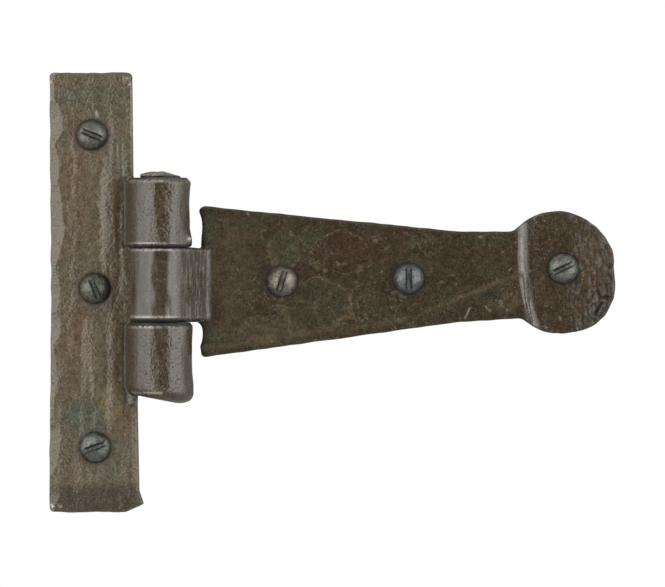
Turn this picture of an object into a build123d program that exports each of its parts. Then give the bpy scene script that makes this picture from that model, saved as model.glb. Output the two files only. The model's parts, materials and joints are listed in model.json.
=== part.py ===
from build123d import *
from math import acos, atan2, cos, exp, radians, sin, sqrt, tan
import os

# A hand-forged tee hinge with its six wood screws, open flat as on a shut door.
# X runs along the strap, Z runs up along the pin, and the front of the hinge faces -Y.
# Both leaves lie with their backs in the plane Y = 0. The origin is on that plane, on the
# axis of the middle screw of the frame plate. All sizes are in millimetres.

# Stock shared by both leaves
leaf_thickness = 4.5
edge_bevel = 0.6

# Frame plate: rise and drop are measured from the middle screw
plate_rise = 72.7
plate_drop = 75.5
plate_left_reach = 15.4
plate_width = 28.3
plate_top_narrowing = 0.4
plate_step_below = 1.4
plate_foot_widening = 0.6
foot_flare = 1.5
foot_flare_height = 3.0
foot_corner_length = 4.5
plate_corner_radius = 1.4
facet_width = 3.0
facet_depth = 1.2

# Knuckles: the rolled eyes, measured along the pin
centre_knuckle_top = 13.5
centre_knuckle_length = 24.7
knuckle_gap = 0.4
upper_knuckle_length = 23.2
lower_knuckle_length = 25.8
upper_gap_bevel = 0.7
lower_gap_bevel = 1.0
upper_end_bevel = 1.6
lower_end_slant = 11.0
lower_end_rounding = 3.6
notch_clearance = 0.75
lip_lap = 2.6
lip_height = 0.9

# Strap: length is from the pin's centre to the tip, rise and drop as on the plate
hinge_length = 152.4
shoulder_clearance = 3.4
shoulder_rise = 27.7
shoulder_drop = 23.3
shoulder_corner_radius = 1.5
crotch_radius = 2.4
waist_to_penny = 32.5
waist_rise = 19.1
waist_drop = 11.4
waist_radius = 60.0
neck_rise = 19.1
neck_drop = 9.4
neck_radius = 3.0

# Penny: the round end of the strap, hammered thinner and out of round.
# Each swell is its amount, its direction from the penny's centre and its half width in degrees.
penny_radius = 20.5
penny_height = 5.5
penny_thickness = 3.0
penny_bevel = 0.5
penny_swells = [(1.75, -45, 30), (-0.8, 0, 12), (-0.9, 130, 22), (-1.4, -133, 24)]
penny_outline_points = 24
step_back = 11.2
step_run = 1.8
step_slant = 6.4

# Pin, peened over at its head and flared at its foot
pin_diameter = 11.2
plate_bore_clearance = 0.05
strap_bore_clearance = 0.08
pin_head_overhang = 1.3
pin_head_rim = 0.7
pin_head_height = 2.3
pin_foot_flare = 0.9
pin_foot_height = 1.4

# Wood screws: round head, slotted, number 12
head_diameter = 10.6
head_height = 3.9
head_rim = 0.5
shank_diameter = 5.5
core_diameter = 4.0
screw_length = 31.0
plain_shank_length = 12.0
shank_step_length = 1.0
point_length = 6.5
hole_clearance = 0.25
slot_width = 1.5
slot_depth = 1.3

# Places of the screws: the plate's outer two are set from its ends, the strap's from the pin
# and from the penny's centre. A slot's angle is counted from level, rising to the right.
top_screw_offset = -1.0
top_screw_below_end = 21.2
bottom_screw_offset = 0.1
bottom_screw_above_end = 22.1
inner_screw_distance = 40.7
inner_screw_height = 2.3
middle_screw_distance = 83.3
middle_screw_height = 3.3
penny_screw_offset = 2.7
penny_screw_rise = 1.2
slot_angles = {
    "plate_screw_top": -22,
    "plate_screw_middle": -68,
    "plate_screw_bottom": 20,
    "strap_screw_inner": 73,
    "strap_screw_middle": 90,
    "strap_screw_penny": 25,
}

# Sizes that follow from the ones above
pin_radius = pin_diameter / 2
plate_bore = pin_radius + plate_bore_clearance
strap_bore = pin_radius + strap_bore_clearance
eye_radius = strap_bore + leaf_thickness
hole_radius = shank_diameter / 2 + hole_clearance
eye_reach_at_front = sqrt(eye_radius**2 - (eye_radius - leaf_thickness) ** 2)
plate_left = -plate_left_reach
plate_right = plate_left + plate_width
pin_x = plate_right + notch_clearance + eye_reach_at_front
pin_y = -eye_radius
shoulder_x = pin_x + eye_radius + shoulder_clearance
centre_knuckle_bottom = centre_knuckle_top - centre_knuckle_length
upper_knuckle_bottom = centre_knuckle_top + knuckle_gap
upper_knuckle_top = upper_knuckle_bottom + upper_knuckle_length
lower_knuckle_top = centre_knuckle_bottom - knuckle_gap
lower_knuckle_bottom = lower_knuckle_top - lower_knuckle_length
slant_drop = eye_radius * tan(radians(lower_end_slant))


def rim_radius(angle):
    """Distance from the penny's centre to its rim, in a direction between -180 and 180 degrees."""
    return penny_radius + sum(
        amount * exp(-(((angle - direction) / half_width) ** 2))
        for amount, direction, half_width in penny_swells
    )


penny_x = pin_x + hinge_length - rim_radius(0)
waist_x = penny_x - waist_to_penny

# The lower knuckle ends on a slant that falls away from the plate
lower_end = Plane(
    origin=(pin_x, pin_y, lower_knuckle_bottom),
    z_dir=(sin(radians(lower_end_slant)), 0, cos(radians(lower_end_slant))),
)

# Each screw's place on its leaf: X, the leaf's front face and Z
plate_screws = {
    "plate_screw_top": (top_screw_offset, -leaf_thickness, plate_rise - top_screw_below_end),
    "plate_screw_middle": (0, -leaf_thickness, 0),
    "plate_screw_bottom": (
        bottom_screw_offset,
        -leaf_thickness,
        bottom_screw_above_end - plate_drop,
    ),
}
strap_screws = {
    "strap_screw_inner": (pin_x + inner_screw_distance, -leaf_thickness, inner_screw_height),
    "strap_screw_middle": (pin_x + middle_screw_distance, -leaf_thickness, middle_screw_height),
    "strap_screw_penny": (
        penny_x + penny_screw_offset,
        -penny_thickness,
        penny_height + penny_screw_rise,
    ),
}


def eye_profile(side, lip_distance):
    """Plan of an eye rolled forward: side is 1 where its leaf lies right of the pin, else -1."""
    lip_depth = eye_radius - leaf_thickness - lip_height
    lip_from_centre = sqrt(lip_distance**2 + lip_depth**2)
    tangent_angle = atan2(lip_depth, lip_distance) - acos(eye_radius / lip_from_centre)
    tangent_x = pin_x + side * eye_radius * cos(tangent_angle)
    tangent_y = pin_y + eye_radius * sin(tangent_angle)
    lip_x = pin_x + side * lip_distance
    with BuildSketch() as profile:
        with Locations((pin_x, pin_y)):
            Circle(eye_radius)
        with BuildLine():
            Polyline(
                (pin_x, pin_y),
                (tangent_x, tangent_y),
                (lip_x, -leaf_thickness - lip_height),
                (lip_x, 0),
                (pin_x, 0),
                close=True,
            )
        make_face()
    return profile.sketch


def centre_eye():
    """The strap's knuckle, bevelled at both ends."""
    with BuildPart() as eye:
        with BuildSketch(Plane.XY.offset(centre_knuckle_bottom)):
            add(eye_profile(1, shoulder_x - pin_x + lip_lap))
        extrude(amount=centre_knuckle_length)
        chamfer(eye.faces().sort_by(Axis.Z)[-1].edges(), upper_gap_bevel)
        chamfer(eye.faces().sort_by(Axis.Z)[0].edges(), lower_gap_bevel)
    return eye.part


def upper_eye():
    """The plate's upper knuckle, with a deeper bevel round its top."""
    with BuildPart() as eye:
        with BuildSketch(Plane.XY.offset(upper_knuckle_bottom)):
            add(eye_profile(-1, pin_x - plate_right + lip_lap))
        extrude(amount=upper_knuckle_length)
        chamfer(eye.faces().sort_by(Axis.Z)[0].edges(), upper_gap_bevel)
        chamfer(eye.faces().sort_by(Axis.Z)[-1].edges(), upper_end_bevel)
    return eye.part


def lower_eye():
    """The plate's lower knuckle, cut on a slant and rounded at its foot."""
    with BuildPart() as eye:
        with BuildSketch(Plane.XY.offset(lower_knuckle_top)):
            add(eye_profile(-1, pin_x - plate_right + lip_lap))
        extrude(amount=-lower_knuckle_length - 2 * slant_drop)
        split(bisect_by=lower_end, keep=Keep.TOP)
        fillet(eye.faces().sort_by(Axis.Z)[0].edges(), lower_end_rounding)
        chamfer(eye.faces().sort_by(Axis.Z)[-1].edges(), lower_gap_bevel)
    return eye.part


def penny_rim():
    """Points round the penny's rim, from its left, counterclockwise."""
    points = []
    for index in range(penny_outline_points):
        angle = index * 360 / penny_outline_points - 180
        radius = rim_radius(angle)
        points.append(
            (penny_x + radius * cos(radians(angle)), penny_height + radius * sin(radians(angle)))
        )
    return points


def plate_outline():
    """Front view of the plate's bar, which widens below the knuckles to a flared corner."""
    below_right = plate_right + plate_step_below
    foot_right = below_right + plate_foot_widening
    with BuildSketch(Plane.XZ) as outline:
        with BuildLine():
            Polyline(
                (plate_left, plate_rise),
                (plate_right - plate_top_narrowing, plate_rise),
                (plate_right, upper_knuckle_top),
                (plate_right, lower_knuckle_top),
                (below_right, lower_knuckle_bottom),
                (foot_right, foot_flare_height + foot_corner_length - plate_drop),
                (foot_right + foot_flare, foot_flare_height - plate_drop),
                (foot_right - foot_corner_length, -plate_drop),
                (plate_left, -plate_drop),
                close=True,
            )
        make_face()
        corners = outline.vertices().group_by(Axis.Y)
        fillet(corners[-1] + corners[0].sort_by(Axis.X)[:1], plate_corner_radius)
    return outline.sketch


def strap_outline():
    """Front view of the strap: a tab into its eye, the tapering bar and the round penny."""
    tab_x = pin_x + eye_radius
    with BuildSketch(Plane.XZ) as outline:
        with BuildLine():
            Polyline(
                (shoulder_x, shoulder_rise),
                (waist_x, waist_rise),
                (penny_x, neck_rise),
                (penny_x, -neck_drop),
                (waist_x, -waist_drop),
                (shoulder_x, -shoulder_drop),
                (shoulder_x, centre_knuckle_bottom),
                (tab_x, centre_knuckle_bottom),
                (tab_x, centre_knuckle_top),
                (shoulder_x, centre_knuckle_top),
                close=True,
            )
        make_face()
        for corner, radius in (
            ((waist_x, waist_rise), waist_radius),
            ((waist_x, -waist_drop), waist_radius),
            ((shoulder_x, shoulder_rise), shoulder_corner_radius),
            ((shoulder_x, -shoulder_drop), shoulder_corner_radius),
            ((shoulder_x, centre_knuckle_bottom), crotch_radius),
        ):
            fillet(outline.vertices().sort_by_distance(corner)[0], radius)
        with BuildLine():
            Spline(*penny_rim(), periodic=True)
        make_face()
        necks = outline.vertices().filter_by_position(Axis.X, penny_x - penny_radius, penny_x)
        fillet(necks, neck_radius)
    return outline.sketch


def flat_bar(outline, thickness, bevel):
    """A bar with its back on Y = 0 and the edge of its front bevelled."""
    with BuildPart() as bar:
        extrude(to_extrude=outline, amount=thickness)
        chamfer(bar.faces().sort_by(Axis.Y)[0].edges(), bevel)
    return bar.part


# Frame plate: a forged bar with a hammered facet down its left edge and two rolled eyes
with BuildPart() as plate:
    add(flat_bar(plate_outline(), leaf_thickness, edge_bevel))
    with BuildSketch(Plane.XY.offset(-plate_drop)):
        with BuildLine():
            Polyline(
                (plate_left, -leaf_thickness),
                (plate_left + facet_width, -leaf_thickness),
                (plate_left, facet_depth - leaf_thickness),
                close=True,
            )
        make_face()
    extrude(amount=plate_rise + plate_drop, mode=Mode.SUBTRACT)
    add(upper_eye())
    add(lower_eye())
    with BuildSketch(Plane.XY.offset(upper_knuckle_top)):
        with Locations((pin_x, pin_y)):
            Circle(plate_bore)
    extrude(amount=-plate_rise - plate_drop, mode=Mode.SUBTRACT)
    # The lower bore widens at its foot for the flared end of the pin
    with BuildSketch(Plane.XZ.offset(-pin_y)):
        with BuildLine():
            Polyline(
                (pin_x, lower_knuckle_bottom + pin_foot_height),
                (pin_x + plate_bore, lower_knuckle_bottom + pin_foot_height),
                (pin_x + plate_bore + pin_foot_flare, lower_knuckle_bottom - pin_foot_height),
                (pin_x, lower_knuckle_bottom - pin_foot_height),
                close=True,
            )
        make_face()
    revolve(axis=Axis((pin_x, pin_y, 0), (0, 0, 1)), mode=Mode.SUBTRACT)
    with BuildSketch(Plane.XZ):
        with Locations(*[(x, z) for x, seat, z in plate_screws.values()]):
            Circle(hole_radius)
    extrude(amount=leaf_thickness, mode=Mode.SUBTRACT)

# Door strap: a tapering bar with one rolled eye, stepping down to the thinner penny at its tip
with BuildPart() as strap:
    add(flat_bar(strap_outline(), leaf_thickness, edge_bevel))
    slant = radians(step_slant)
    step_depth = leaf_thickness - penny_thickness
    step_face = Plane(
        origin=(penny_x - step_back, -leaf_thickness, penny_height),
        x_dir=(-sin(slant), 0, cos(slant)),
        z_dir=(-step_depth * cos(slant), step_run, -step_depth * sin(slant)),
    )
    split(bisect_by=step_face, keep=Keep.TOP)
    add(flat_bar(strap_outline(), penny_thickness, penny_bevel))
    add(centre_eye())
    with BuildSketch(Plane.XY.offset(centre_knuckle_bottom)):
        with Locations((pin_x, pin_y)):
            Circle(strap_bore)
    extrude(amount=centre_knuckle_length, mode=Mode.SUBTRACT)
    with BuildSketch(Plane.XZ):
        with Locations(*[(x, z) for x, seat, z in strap_screws.values()]):
            Circle(hole_radius)
    extrude(amount=leaf_thickness, mode=Mode.SUBTRACT)

# Pin: its head is peened down on the upper knuckle, its foot is filed flush with the lower one
with BuildPart() as pin:
    with BuildSketch(Plane.XZ.offset(-pin_y)):
        head_radius = pin_radius + pin_head_overhang
        with BuildLine():
            Polyline(
                (pin_x, upper_knuckle_top + pin_head_height),
                (pin_x, lower_knuckle_bottom - pin_foot_height),
                (pin_x + pin_radius + pin_foot_flare, lower_knuckle_bottom - pin_foot_height),
                (pin_x + pin_radius, lower_knuckle_bottom + pin_foot_height),
                (pin_x + pin_radius, upper_knuckle_top),
                (pin_x + head_radius, upper_knuckle_top),
                (pin_x + head_radius, upper_knuckle_top + pin_head_rim),
            )
            TangentArc(
                (pin_x, upper_knuckle_top + pin_head_height),
                (pin_x + head_radius, upper_knuckle_top + pin_head_rim),
                tangent=(1, 0),
            )
        make_face()
    revolve(axis=Axis((pin_x, pin_y, 0), (0, 0, 1)))
    split(bisect_by=lower_end, keep=Keep.TOP)


def wood_screw(place, slot_angle):
    """A slotted round-head screw whose head sits on a leaf at the given place."""
    x, seat, z = place
    with BuildPart() as screw:
        with BuildSketch(Plane(origin=place, x_dir=(1, 0, 0), z_dir=(0, 0, 1))):
            with BuildLine():
                TangentArc((0, -head_height), (head_diameter / 2, -head_rim), tangent=(1, 0))
                Polyline(
                    (head_diameter / 2, -head_rim),
                    (head_diameter / 2, 0),
                    (shank_diameter / 2, 0),
                    (shank_diameter / 2, plain_shank_length),
                    (core_diameter / 2, plain_shank_length + shank_step_length),
                    (core_diameter / 2, screw_length - point_length),
                    (0, screw_length),
                    (0, -head_height),
                )
            make_face()
        revolve(axis=Axis(place, (0, 1, 0)))
        along_slot = (cos(radians(slot_angle)), 0, sin(radians(slot_angle)))
        slot_floor = Plane(
            origin=(x, seat - head_height + slot_depth, z),
            x_dir=along_slot,
            z_dir=(0, -1, 0),
        )
        with BuildSketch(slot_floor):
            Rectangle(2 * head_diameter, slot_width)
        extrude(amount=head_height, mode=Mode.SUBTRACT)
    return screw.part


os.makedirs("parts", exist_ok=True)

plate.part.label = "plate"
export_step(plate.part, "parts/plate.step")

strap.part.label = "strap"
export_step(strap.part, "parts/strap.step")

pin.part.label = "pin"
export_step(pin.part, "parts/pin.step")

for name, place in {**plate_screws, **strap_screws}.items():
    screw = wood_screw(place, slot_angles[name])
    screw.label = name
    export_step(screw, f"parts/{name}.step")
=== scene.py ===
"""Looks of a hand-forged tee hinge, laid out as an add-on and run as a script.

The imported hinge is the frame. Its two leaves are evened out into fine skins and hammered, its pin is
peened, its six wood screws get worn heads and a real thread, and a plain studio lights them.
"""

import json
from math import cos, pi, radians, sin, tan

import bmesh
import bpy
import numpy as np
from bpy.props import FloatProperty, FloatVectorProperty, IntProperty, PointerProperty
from bpy.types import Operator, Panel, PropertyGroup
from mathutils import Matrix, Vector, noise


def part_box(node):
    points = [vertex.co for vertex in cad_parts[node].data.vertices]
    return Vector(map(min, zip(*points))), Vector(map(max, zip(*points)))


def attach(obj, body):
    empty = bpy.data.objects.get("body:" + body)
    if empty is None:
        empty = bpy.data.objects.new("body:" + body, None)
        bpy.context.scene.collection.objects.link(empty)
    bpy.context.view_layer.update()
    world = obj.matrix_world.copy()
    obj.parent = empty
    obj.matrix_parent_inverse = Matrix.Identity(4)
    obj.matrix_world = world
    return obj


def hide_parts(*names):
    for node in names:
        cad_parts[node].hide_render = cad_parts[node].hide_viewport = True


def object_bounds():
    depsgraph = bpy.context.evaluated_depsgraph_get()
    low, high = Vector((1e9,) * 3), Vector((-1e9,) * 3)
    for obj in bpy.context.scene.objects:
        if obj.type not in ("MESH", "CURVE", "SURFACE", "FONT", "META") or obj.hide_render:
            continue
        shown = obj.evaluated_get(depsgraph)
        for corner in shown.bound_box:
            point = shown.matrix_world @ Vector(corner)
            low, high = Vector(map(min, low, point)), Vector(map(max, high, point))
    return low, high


bl_info = {
    "name": "Forged Tee Hinge",
    "version": (1, 0, 0),
    "blender": (4, 5, 0),
    "location": "View3D > Sidebar > Hinge",
    "description": "Dresses a packed tee hinge in hammered iron, with worn screws and a plain studio",
    "category": "Object",
}

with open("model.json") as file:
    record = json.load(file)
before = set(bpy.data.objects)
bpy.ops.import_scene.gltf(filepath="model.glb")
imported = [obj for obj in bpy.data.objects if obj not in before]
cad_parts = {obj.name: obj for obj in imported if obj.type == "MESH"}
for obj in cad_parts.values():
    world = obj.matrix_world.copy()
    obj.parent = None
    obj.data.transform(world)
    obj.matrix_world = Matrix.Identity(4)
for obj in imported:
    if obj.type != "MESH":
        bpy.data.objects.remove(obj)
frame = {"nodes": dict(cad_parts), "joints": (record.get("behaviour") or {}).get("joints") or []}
CAD_BOX = [list(corner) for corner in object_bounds()]

# Shapes are worked out in millimetres, and the meshes are in metres
MM = 0.001
WELD = 0.002 * MM

# Places that the frame gives
PIN_X, PIN_Y = [place / MM for place in frame["joints"][0]["pos_m"][:2]]
PLATE_LOW, PLATE_HIGH = [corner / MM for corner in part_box("plate")]
STRAP_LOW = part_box("strap")[0] / MM
PIN_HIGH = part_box("pin")[1] / MM
EYE_RADIUS = -PIN_Y

# Sizes of the solids that the frame doesn't name
BAR = 4.5
FACET_WIDTH = 3.0
FACET_DEPTH = 1.2
PLATE_RIGHT = 12.9
LIP_X = 10.3
BORE_RADIUS = 5.65
UPPER_EYE = (13.9, 37.1)
CENTRE_EYE = (-11.2, 13.5)
LOWER_EYE = (-38.5, -11.6)
SHOULDER_X = 35.7
PENNY_THICKNESS = 3.0
PENNY_CENTRE = (154.6, 5.5)
STEP_BACK = 11.2
STEP_RUN = 1.8
STEP_SLANT = 6.4
LOWER_SLOPE = 0.128
HEAD_HEIGHT = 3.9
HEAD_RADIUS = 5.3
HEAD_RIM = 0.5
SHANK_RADIUS = 2.75
CORE_RADIUS = 2.0
PLAIN_SHANK = 12.0
SHANK_STEP = 1.0
SCREW_LENGTH = 31.0
POINT_LENGTH = 6.5

# The strap's step as it is worn: its width, its X at the top, and the height below which it leans
WORN_STEP = 2.8
STEP_TOP_X = 142.1
STEP_BEND_Z = 12.0

# Hammer blows down the plate's left edge: height, half height and how far in the facet reaches
EDGE_BLOWS = [
    (66.0, 7.0, 1.2),
    (56.0, 9.0, 4.4),
    (41.0, 10.0, 3.2),
    (22.0, 17.0, 4.9),
    (-2.0, 9.0, 3.4),
    (-13.0, 8.0, 3.6),
    (-30.0, 13.0, 2.6),
    (-52.0, 12.0, 3.6),
    (-69.0, 8.0, 3.4),
]

# How far in the facet reaches between the blows
FACET_MARGIN = 1.5

# The plate is beaten thin below and above these heights, and its foot's flare slopes back from an X
FOOT_START = -65.0
TOP_START = 63.0
FLARE_START_X = 12.2

# The raised corner at the plate's top right, as X and Z, and the burr on the upper knuckle's corner
RAISED_CORNER = (11.4, 70.5)
BURR = (31.8, -13.8, 16.4)

# How far each knuckle's right side swells past its round: height and swell
UPPER_SWELL = [(13.9, 0.55), (16.5, 0.45), (20.0, -0.15), (30.0, -0.2), (34.0, 0.1), (37.1, 0.5)]
LOWER_SWELL = [(-36.0, 1.1), (-32.0, 1.05), (-28.0, 0.6), (-24.0, 0.45), (-18.5, 0.6), (-11.6, 0.95)]

# How far the strap's left end stands out above and below its knuckle: height, half height and reach
STRAP_EARS = [(26.0, 1.6, 0.7), (21.0, 3.0, -0.3), (-19.6, 1.2, 0.4), (-15.6, 2.6, -0.5)]

# The neck's facet: a point on its upper line, the line's slope, and where it and its ridge fade in
NECK_RIDGE = (112.6, -7.0)
NECK_SLOPE = 0.41
NECK_FACET_START = (106.0, 122.0)
NECK_RIDGE_START = (104.0, 116.0)

# The facet along the rest of the lower edge: its height, and where it fades out
EDGE_FACET_HEIGHT = 4.4
EDGE_FACET_END = (100.0, 115.0)

# Where the penny's wrinkles deepen along X
WRINKLES_START = (157.0, 163.0)

# Cracks in the penny, each a line of X and Z with its own depth
PENNY_CRACKS = [
    ([(168.8, -0.6), (169.8, -3.0), (172.6, -3.2)], 0.9),
    ([(170.4, -5.0), (169.2, -6.8), (168.0, -8.8)], 1.1),
]

# Soot and painted shade in the two gaps between the knuckles, from and to a height
UPPER_SOOT_AND_SHADE = (13.2, 14.7)
LOWER_SOOT_AND_SHADE = (-12.75, -10.5)

# Rims of the knuckles that are rubbed bright and carry a painted highlight
PLATE_RIMS = (35.9, 14.95, -12.9)
STRAP_RIMS = (12.9, -9.6)
LOWER_RIM = -35.0

# The strap's brushed tail between its knuckle and its shoulder: where it starts and ends along X
TAIL_START = (29.0, 32.0)
TAIL_END = (50.0, 40.0)
# X of the tail's end, which gets a painted highlight
TAIL_LIP_HIGHLIGHT = 38.2
TAIL_SPAN = (-10.5, 12.5)

# Radius of the pin's peened head, round which the knuckle gets a painted shadow
PEENED_RADIUS = 6.9

# Upright ridges on the plate: X, from and to a height, width and rise, where a rise below 0 is a groove
PLATE_RIDGES = [
    (-0.2, -36.0, -14.0, 1.3, 0.32),
    (-4.6, -32.0, -12.0, 1.6, -0.3),
    (3.2, 27.0, 47.0, 1.3, 0.25),
    (6.2, -37.0, -6.0, 1.4, 0.2),
    (8.4, 2.0, 48.0, 1.0, -0.25),
]

# Bright nicks on each leaf, each a short line of X and Z
# On the plate these are painted highlights on a burr, the raised corner, chipped corners and a light
# streak, partly on worn metal
PLATE_NICKS_AND_HIGHLIGHTS = [
    [(31.9, 16.3), (32.0, 16.9)],
    [(11.6, 68.4), (11.9, 69.0)],
    [(-15.2, 69.6), (-14.7, 68.7)],
    [(-14.8, -72.6), (-14.2, -73.4)],
    [(-12.1, -73.0), (-11.6, -73.3)],
    [(0.2, 59.8), (0.8, 57.8)],
]
STRAP_NICKS = [
    [(79.4, 12.1), (79.9, 11.6)],
    [(81.3, 8.6), (81.9, 7.9)],
    [(129.2, 17.4), (129.9, 17.1)],
    [(134.7, 3.3), (135.0, 2.8)],
    [(138.3, -7.1), (138.8, -7.6)],
    [(126.0, -6.6), (124.4, -10.0)],
    [(131.1, -6.0), (132.8, -7.6)],
    [(156.1, -9.5), (156.6, -10.4)],
    [(151.3, -12.8), (151.8, -13.3)],
    [(161.8, -13.1), (162.2, -13.6)],
]

# Middle of the painted shade in the crease between the plate's bar and its knuckles
SHADED_CREASE_X = 10.4

# Dark spots on the plate: X, Z, reach and share
PLATE_SPOTS = [(12.0, -65.8, 0.9, 0.8), (13.9, -69.2, 1.8, 0.5), (3.6, -65.8, 0.9, 0.35)]

# A dark crack beside the strap's red-brown stain
STRAP_CRACK = [(74.6, 18.2), (78.0, 14.2), (80.6, 10.2)]

# Stains on the plate: colour, X and Z of the middle, reach each way, share, and softness of the edge
PLATE_STAINS = [
    ("verdigris", -3.0, -44.0, 10.0, 9.0, 0.9, 0.5),
    ("verdigris", 7.0, -57.0, 6.0, 9.0, 0.55, 0.5),
    ("verdigris", 0.0, 64.0, 17.0, 8.0, 0.6, 0.5),
    ("verdigris", 9.0, 46.0, 4.0, 10.0, 0.5, 0.5),
    ("ochre", 5.0, -38.0, 5.5, 9.0, 0.75, 0.5),
    ("ochre", 0.0, 22.0, 5.0, 26.0, 0.25, 0.5),
    ("ochre", 1.0, -22.0, 6.0, 12.0, 0.35, 0.5),
    ("amber", -5.0, -16.0, 6.0, 13.0, 0.7, 0.5),
    ("amber", -7.0, 40.0, 4.0, 16.0, 0.6, 0.5),
    ("amber", 11.0, -45.0, 4.0, 8.0, 0.5, 0.5),
    ("rust", 0.0, -72.0, 18.0, 6.0, 0.4, 0.5),
]

# Stains on the strap, in the same form
STRAP_STAINS = [
    ("olive", 75.0, -5.0, 12.0, 8.0, 0.5, 0.12),
    ("rust", 83.0, 12.0, 10.0, 7.0, 0.7, 0.12),
    ("rust", 98.0, 14.0, 9.0, 6.0, 0.6, 0.4),
    ("rust", 128.0, 10.0, 12.0, 6.0, 0.4, 0.5),
    ("verdigris", 63.8, 13.5, 5.2, 6.5, 0.34, 0.1),
    ("olive", 110.0, 8.0, 3.5, 4.0, 0.6, 0.12),
    ("olive", 72.0, 17.0, 2.5, 3.5, 0.6, 0.12),
    ("plate", 44.0, 8.0, 12.0, 22.0, 0.3, 0.5),
    ("plate", 54.0, -14.0, 20.0, 6.0, 0.35, 0.5),
    ("rust", 154.6, 5.5, 23.0, 23.0, 0.65, 0.5),
    ("verdigris", 38.0, 20.0, 3.5, 7.0, 0.5, 0.5),
    ("verdigris", 40.0, -18.5, 5.0, 5.5, 0.55, 0.5),
    # A painted sheen in the plate's paler colour, below the step
    ("plate", 138.0, -4.5, 7.0, 4.5, 0.4, 0.5),
    ("grime_and_shade", 133.5, -2.5, 5.0, 2.4, 0.6, 0.6),
    ("amber", 167.0, 9.0, 8.0, 15.0, 0.25, 0.6),
]

# What a node group's places and turns are before anything is linked to them
ORIGIN = (0.0, 0.0, 0.0)

# How much further round than the left key the right key starts and ends
RIGHT_KEY_START = 1.35
RIGHT_KEY_END = 1.15

# Middle and size of the floor, and how far from the middle it fades to white, in metres
FLOOR_MIDDLE_X = 0.08
FLOOR_SIZE = (0.9, 0.6)
FLOOR_FADE = (0.1, 0.28)

# How far stains reach through a leaf, and the softness below which one is crisp
STAIN_DEPTH = 50.0
CRISP = 0.2

# How far away the side lights stand, and how tall they are, in metres
LIGHT_DISTANCE = 0.7
LIGHT_HEIGHT = 1.2

# Even light on the back, where the white background is 1
BACK_LIGHT = 0.9

# Each screw's body, the lean of its slot in degrees and its colour
SCREWS = {
    "plate_screw_top": {"body": "frame_leaf", "slot": -22, "tint": "gunmetal"},
    "plate_screw_middle": {"body": "frame_leaf", "slot": -68, "tint": "gunmetal"},
    "plate_screw_bottom": {"body": "frame_leaf", "slot": 20, "tint": "pewter"},
    "strap_screw_inner": {"body": "door_leaf", "slot": 73, "tint": "warm"},
    "strap_screw_middle": {"body": "door_leaf", "slot": 90, "tint": "blued"},
    "strap_screw_penny": {"body": "door_leaf", "slot": 25, "tint": "pewter"},
}


def length_property(name, description, millimetres):
    """A size that a user would change, given in millimetres."""
    return FloatProperty(name=name, description=description, default=millimetres * MM, unit="LENGTH")


def angle_property(name, description, degrees):
    """An angle that a user would change, given in degrees."""
    return FloatProperty(name=name, description=description, default=radians(degrees), unit="ROTATION")


def colour_property(name, description, colour):
    """A colour that a user would change."""
    return FloatVectorProperty(name=name, description=description, default=colour, subtype="COLOR")


class ForgingSettings(PropertyGroup):
    """Sizes of the hammer's work."""

    skin: length_property("Skin", "Size of the squares of a leaf's skin", 0.45)
    pin_skin: length_property("Pin skin", "Size of the squares of the pin's skin", 0.4)
    plate_dents: length_property("Plate dents", "Depth of the hammered dents in the plate", 0.45)
    plate_flutes: length_property("Plate flutes", "Depth of the plate's long hollows", 0.55)
    strap_dents: length_property("Strap dents", "Depth of the dents in the strap", 0.14)
    edge_wander: length_property("Edge wander", "How far a leaf's edge strays", 0.22)


class IronSettings(PropertyGroup):
    """Colours of the leaves and the pin."""

    plate: colour_property("Plate", "Waxed brown of the plate", (0.09, 0.066, 0.032))
    strap: colour_property("Strap", "Dark brown of the strap", (0.028, 0.0175, 0.0045))
    rolled: colour_property("Rolled", "Smoother brown of the knuckles", (0.0415, 0.028, 0.0135))
    rust: colour_property("Rust", "Red-brown mottling", (0.035, 0.0165, 0.0042))
    olive: colour_property("Olive", "Green-brown stains", (0.036, 0.032, 0.0125))
    verdigris: colour_property("Green-grey", "Green-grey stains on the plate", (0.062, 0.066, 0.036))
    amber: colour_property("Amber", "Orange-brown stains on the plate", (0.105, 0.062, 0.026))
    ochre: colour_property("Ochre", "Tan stains on the plate", (0.14, 0.105, 0.045))
    pin: colour_property("Pin", "Grey-olive of the pin's head", (0.2, 0.18, 0.13))
    # This colour also paints the highlights on rims, nicks, the tail's end and the step
    worn: colour_property("Worn", "Bright iron on worn edges", (0.42, 0.38, 0.33))
    # This colour also paints shade in gaps, creases and slots, on bar sides and round heads
    grime_and_shade: colour_property("Grime", "Soot and wax in the grooves", (0.006, 0.005, 0.004))


class ScrewSettings(PropertyGroup):
    """Sizes and colours of the wood screws."""

    skin: length_property("Skin", "Size of the squares of a screw's skin", 0.2)
    pitch: length_property("Pitch", "From one turn of the thread to the next", 2.3)
    slot_width: length_property("Slot width", "Width of the driver's slot", 1.5)
    slot_depth: length_property("Slot depth", "Depth of the driver's slot", 1.15)
    facets: IntProperty(name="Facets", description="Steps of one turn", default=72)
    gunmetal: colour_property("Gunmetal", "Brown-grey steel", (0.1, 0.096, 0.077))
    pewter: colour_property("Pewter", "Green-grey steel", (0.112, 0.12, 0.099))
    warm: colour_property("Warm", "Pale warm steel", (0.153, 0.136, 0.108))
    blued: colour_property("Blued", "Blue-grey steel", (0.097, 0.104, 0.101))


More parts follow.
